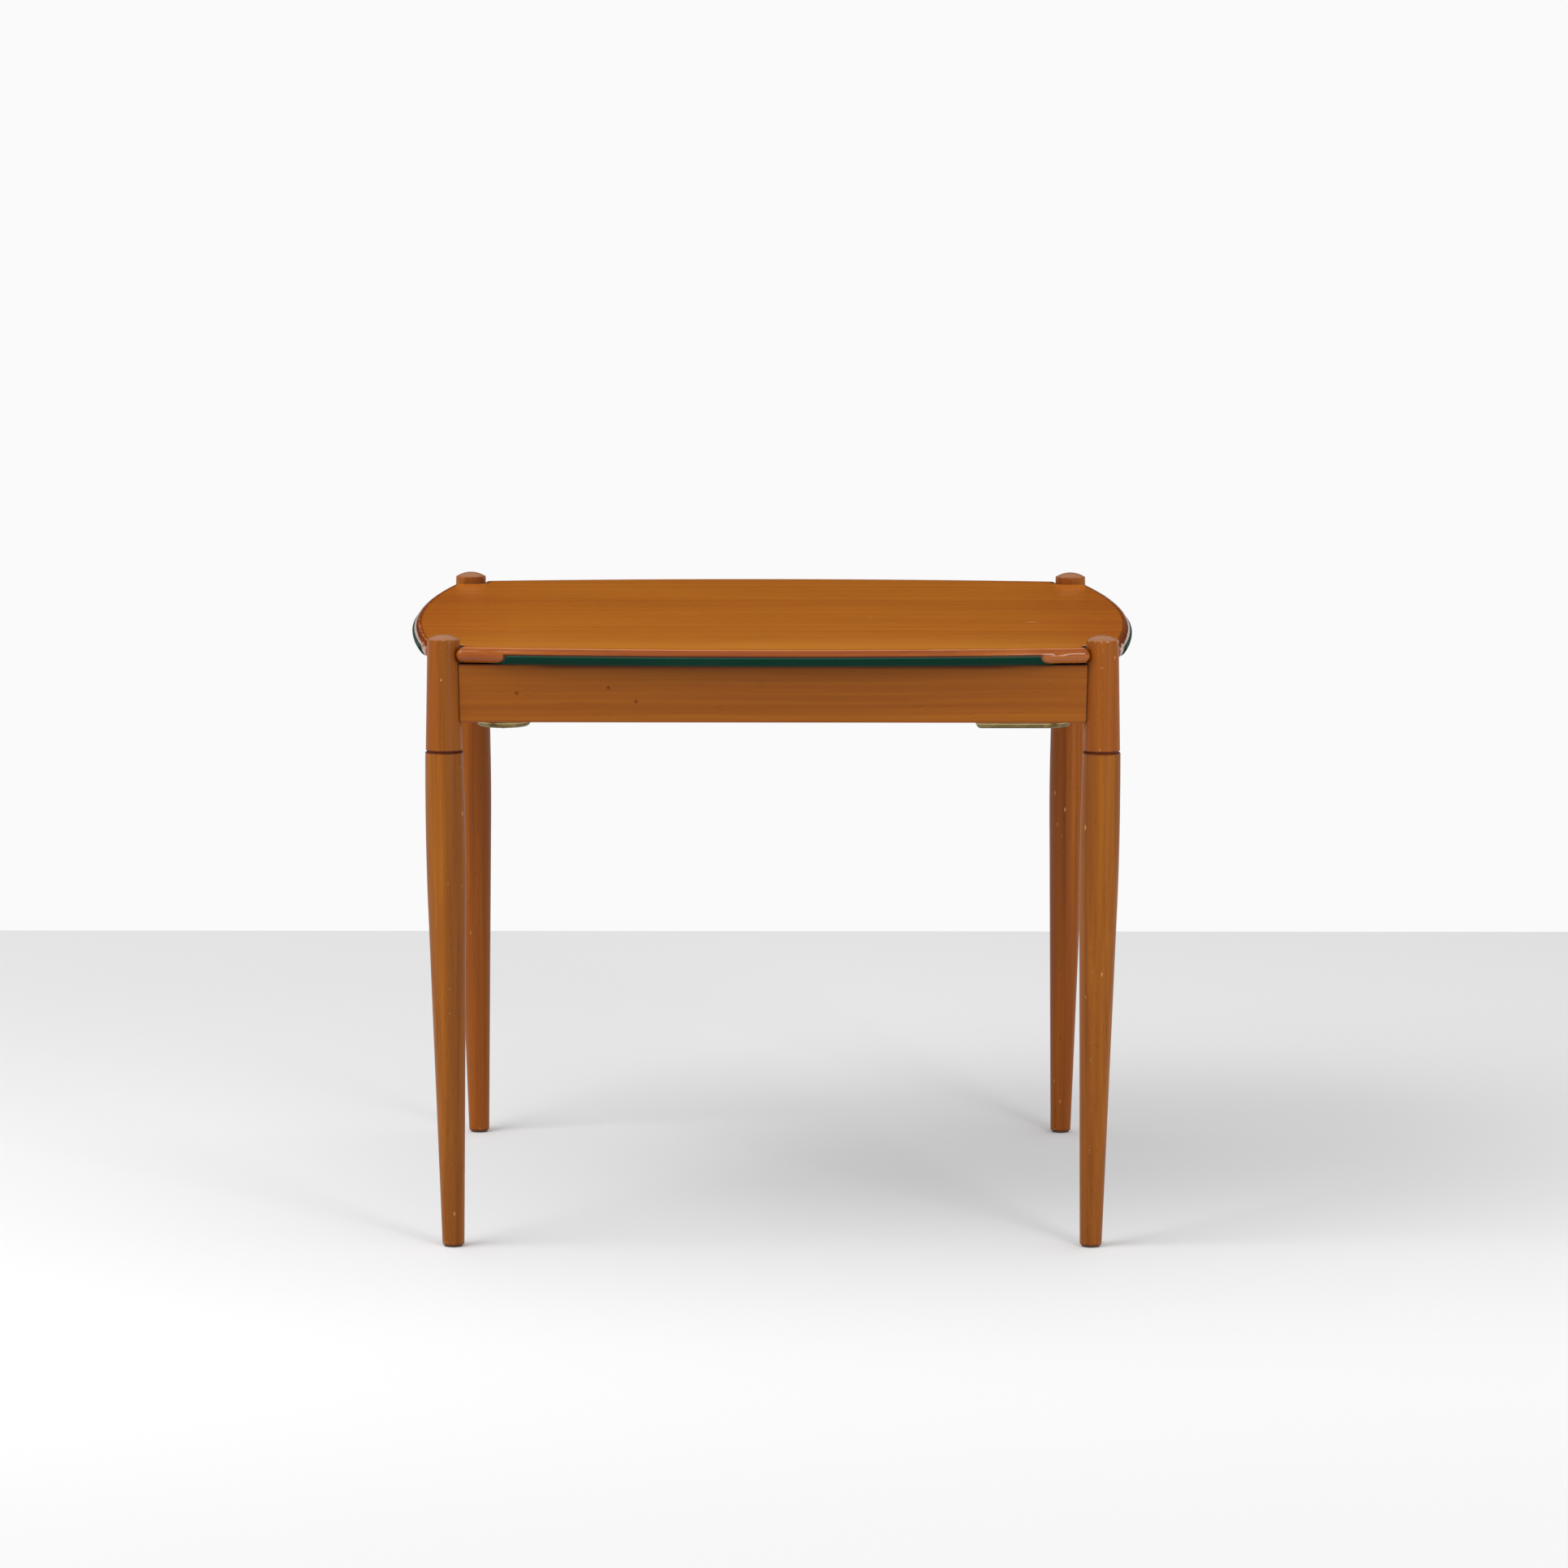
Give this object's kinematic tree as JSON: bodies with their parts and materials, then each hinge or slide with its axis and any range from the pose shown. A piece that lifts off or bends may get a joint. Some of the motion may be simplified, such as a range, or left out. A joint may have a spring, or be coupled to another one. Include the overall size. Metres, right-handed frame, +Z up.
{
  "type": "games table",
  "caption": "Square games table with bowed sides: reversible lift-off board between turned posts with domed tops, toed-in tapered legs and brass trays that swing out under the rails.",
  "frame": {"origin": "middle of the floor under the table, at the feet", "axes": "+Z up, +X to the right and +Y to the back; the wood side of the board is up and the cloth side is down"},
  "size_m": [0.8674, 0.8674, 0.72],
  "materials": {
    "top_wood": "clear gloss lacquer over straight-grained honey brown veneer",
    "edge_wood": "clear gloss lacquer on rounded solid wood",
    "rail_wood": "satin lacquer",
    "post_wood": "gloss lacquer on turned wood",
    "leg_wood": "gloss lacquer on turned wood",
    "block_wood": "bare planed wood",
    "core_wood": "blockboard, hidden",
    "cloth": "short felted pile",
    "tray_brass": "polished, dulled with age",
    "pivot_brass": "turned",
    "washer_fibre": "waxed fibre",
    "steel": "bright zinc",
    "pad_rubber": "matt",
    "glide": "matt"
  },
  "bodies": {
    "frame": {"post_front_right": "post_wood", "leg_front_right": "leg_wood", "leg_stud_front_right": "steel", "leg_insert_front_right": "steel", "foot_glide_front_right": "glide", "corner_block_front_right": "block_wood", "rest_pads_front_right": "pad_rubber", "post_back_right": "post_wood", "leg_back_right": "leg_wood", "leg_stud_back_right": "steel", "leg_insert_back_right": "steel", "foot_glide_back_right": "glide", "corner_block_back_right": "block_wood", "rest_pads_back_right": "pad_rubber", "post_back_left": "post_wood", "leg_back_left": "leg_wood", "leg_stud_back_left": "steel", "leg_insert_back_left": "steel", "foot_glide_back_left": "glide", "corner_block_back_left": "block_wood", "rest_pads_back_left": "pad_rubber", "post_front_left": "post_wood", "leg_front_left": "leg_wood", "leg_stud_front_left": "steel", "leg_insert_front_left": "steel", "foot_glide_front_left": "glide", "corner_block_front_left": "block_wood", "rest_pads_front_left": "pad_rubber", "rail_front": "rail_wood", "tray_pivot_front": "pivot_brass", "tray_spacer_front": "pivot_brass", "tray_washer_front": "washer_fibre", "rail_right": "rail_wood", "tray_pivot_right": "pivot_brass", "tray_spacer_right": "pivot_brass", "tray_washer_right": "washer_fibre", "rail_back": "rail_wood", "tray_pivot_back": "pivot_brass", "tray_spacer_back": "pivot_brass", "tray_washer_back": "washer_fibre", "rail_left": "rail_wood", "tray_pivot_left": "pivot_brass", "tray_spacer_left": "pivot_brass", "tray_washer_left": "washer_fibre", "corner_block_screws": "steel"},
    "top": {"top_core": "core_wood", "top_veneer": "top_wood", "playing_cloth": "cloth", "lipping_front": "edge_wood", "lipping_right": "edge_wood", "lipping_back": "edge_wood", "lipping_left": "edge_wood"},
    "tray_front": {"tray_front": "tray_brass"},
    "tray_right": {"tray_right": "tray_brass"},
    "tray_back": {"tray_back": "tray_brass"},
    "tray_left": {"tray_left": "tray_brass"}
  },
  "joints": [
    {"name": "board_lift", "type": "slide", "parent": "frame", "child": "top", "axis": [0, 0, 1], "range_m": [0, 0.06]},
    {"name": "tray_front_swing", "type": "hinge", "parent": "frame", "child": "tray_front", "pos_m": [0.33, -0.314, 0.6067], "axis": [0, 0, 1], "range_deg": [0, 82]},
    {"name": "tray_right_swing", "type": "hinge", "parent": "frame", "child": "tray_right", "pos_m": [0.314, 0.33, 0.6067], "axis": [0, 0, 1], "range_deg": [0, 82]},
    {"name": "tray_back_swing", "type": "hinge", "parent": "frame", "child": "tray_back", "pos_m": [-0.33, 0.314, 0.6067], "axis": [0, 0, 1], "range_deg": [0, 82]},
    {"name": "tray_left_swing", "type": "hinge", "parent": "frame", "child": "tray_left", "pos_m": [-0.314, -0.33, 0.6067], "axis": [0, 0, 1], "range_deg": [0, 82]}
  ]
}
